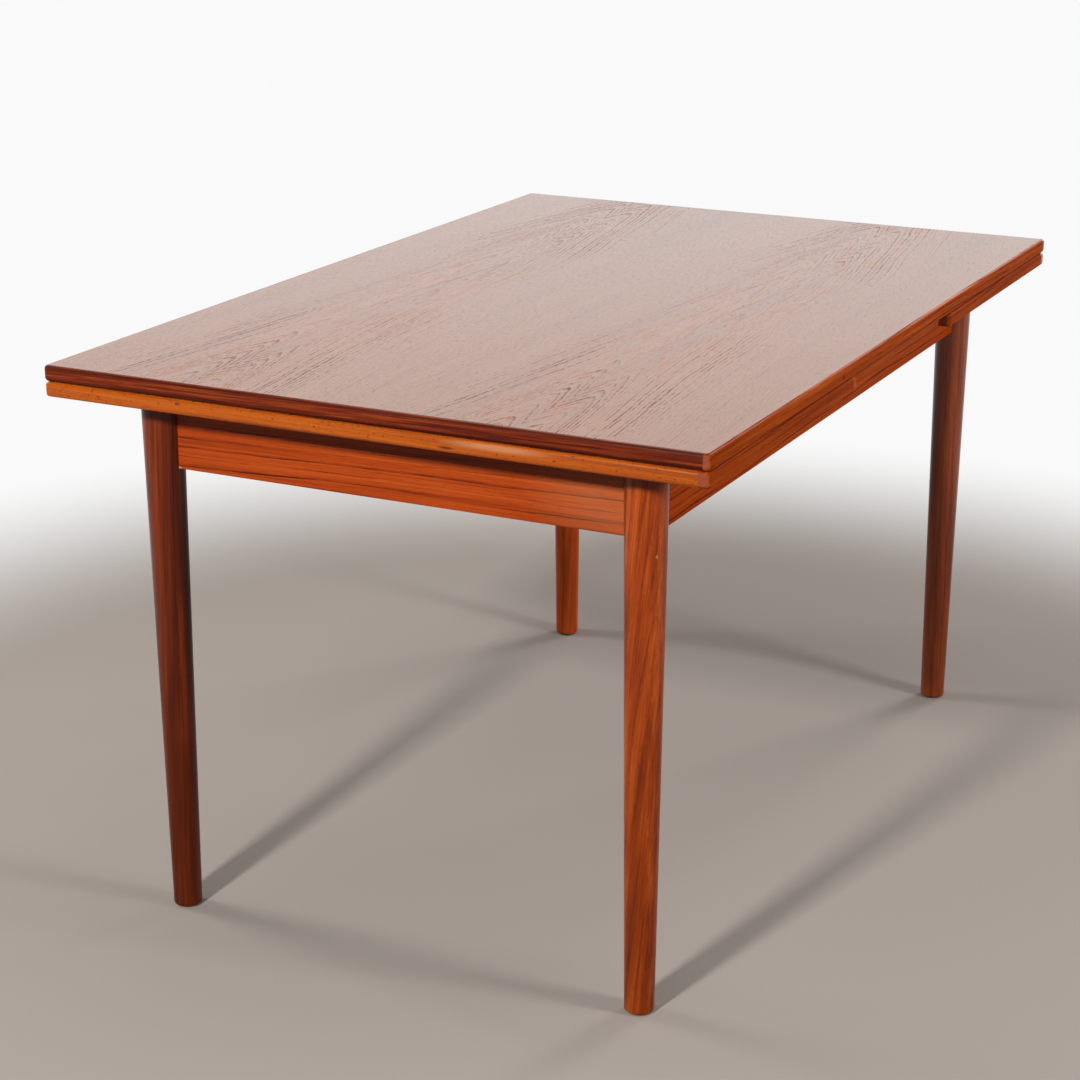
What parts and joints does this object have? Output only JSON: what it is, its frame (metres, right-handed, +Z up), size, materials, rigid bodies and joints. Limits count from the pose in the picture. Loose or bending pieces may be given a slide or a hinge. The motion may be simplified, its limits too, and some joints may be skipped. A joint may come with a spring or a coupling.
{
  "type": "draw-leaf dining table",
  "caption": "Rectangular teak dining table on round tapered legs, with a loose pegged top and draw leaves that slide out on runners from under both ends",
  "frame": {"origin": "on the floor under the middle of the closed table", "axes": "+Z up, X along the table's length, Y across it"},
  "size_m": [1.308, 0.87, 0.73],
  "materials": {
    "teak": "oiled teak, satin",
    "teak_veneer": "teak face veneer, satin lacquer",
    "core": "sawn board core under teak backing veneer",
    "beech": "planed beech, unfinished",
    "steel": "plain zinc plated steel",
    "glide": "dark furniture glide",
    "felt": "wool felt"
  },
  "bodies": {
    "frame": {"board_screws": "steel", "centre_board": "teak", "corner_block_left_front": "beech", "corner_block_left_rear": "beech", "corner_block_right_front": "beech", "corner_block_right_rear": "beech", "corner_bolts": "steel", "cross_rail_left": "beech", "cross_rail_right": "beech", "end_rail_left": "teak", "end_rail_right": "teak", "felt_pads": "felt", "glide_left_front": "glide", "glide_left_rear": "glide", "glide_right_front": "glide", "glide_right_rear": "glide", "leg_left_front": "teak", "leg_left_rear": "teak", "leg_right_front": "teak", "leg_right_rear": "teak", "long_rail_front": "teak", "long_rail_rear": "teak"},
    "left_leaf": {"left_leaf_core": "core", "left_leaf_inner_lipping": "teak", "left_leaf_lipping_front": "teak", "left_leaf_lipping_rear": "teak", "left_leaf_outer_lipping": "teak", "left_leaf_veneer": "teak_veneer", "left_runner_front": "beech", "left_runner_rear": "beech", "left_runner_screws": "steel", "left_runner_stops": "beech"},
    "right_leaf": {"right_leaf_core": "core", "right_leaf_inner_lipping": "teak", "right_leaf_lipping_front": "teak", "right_leaf_lipping_rear": "teak", "right_leaf_outer_lipping": "teak", "right_leaf_veneer": "teak_veneer", "right_runner_front": "beech", "right_runner_rear": "beech", "right_runner_screws": "steel", "right_runner_stops": "beech"},
    "top": {"top_core": "core", "top_end_lipping_left": "teak", "top_end_lipping_right": "teak", "top_pegs": "beech", "top_side_lipping_front": "teak", "top_side_lipping_rear": "teak", "top_veneer": "teak_veneer"}
  },
  "joints": [
    {"name": "left_leaf_slide", "type": "slide", "parent": "frame", "child": "left_leaf", "axis": [-1, 0, 0], "range_m": [0, 0.467]},
    {"name": "right_leaf_slide", "type": "slide", "parent": "frame", "child": "right_leaf", "axis": [1, 0, 0], "range_m": [0, 0.467]},
    {"name": "top_lift", "type": "slide", "parent": "frame", "child": "top", "axis": [0, 0, 1], "range_m": [0, 0.02]}
  ]
}
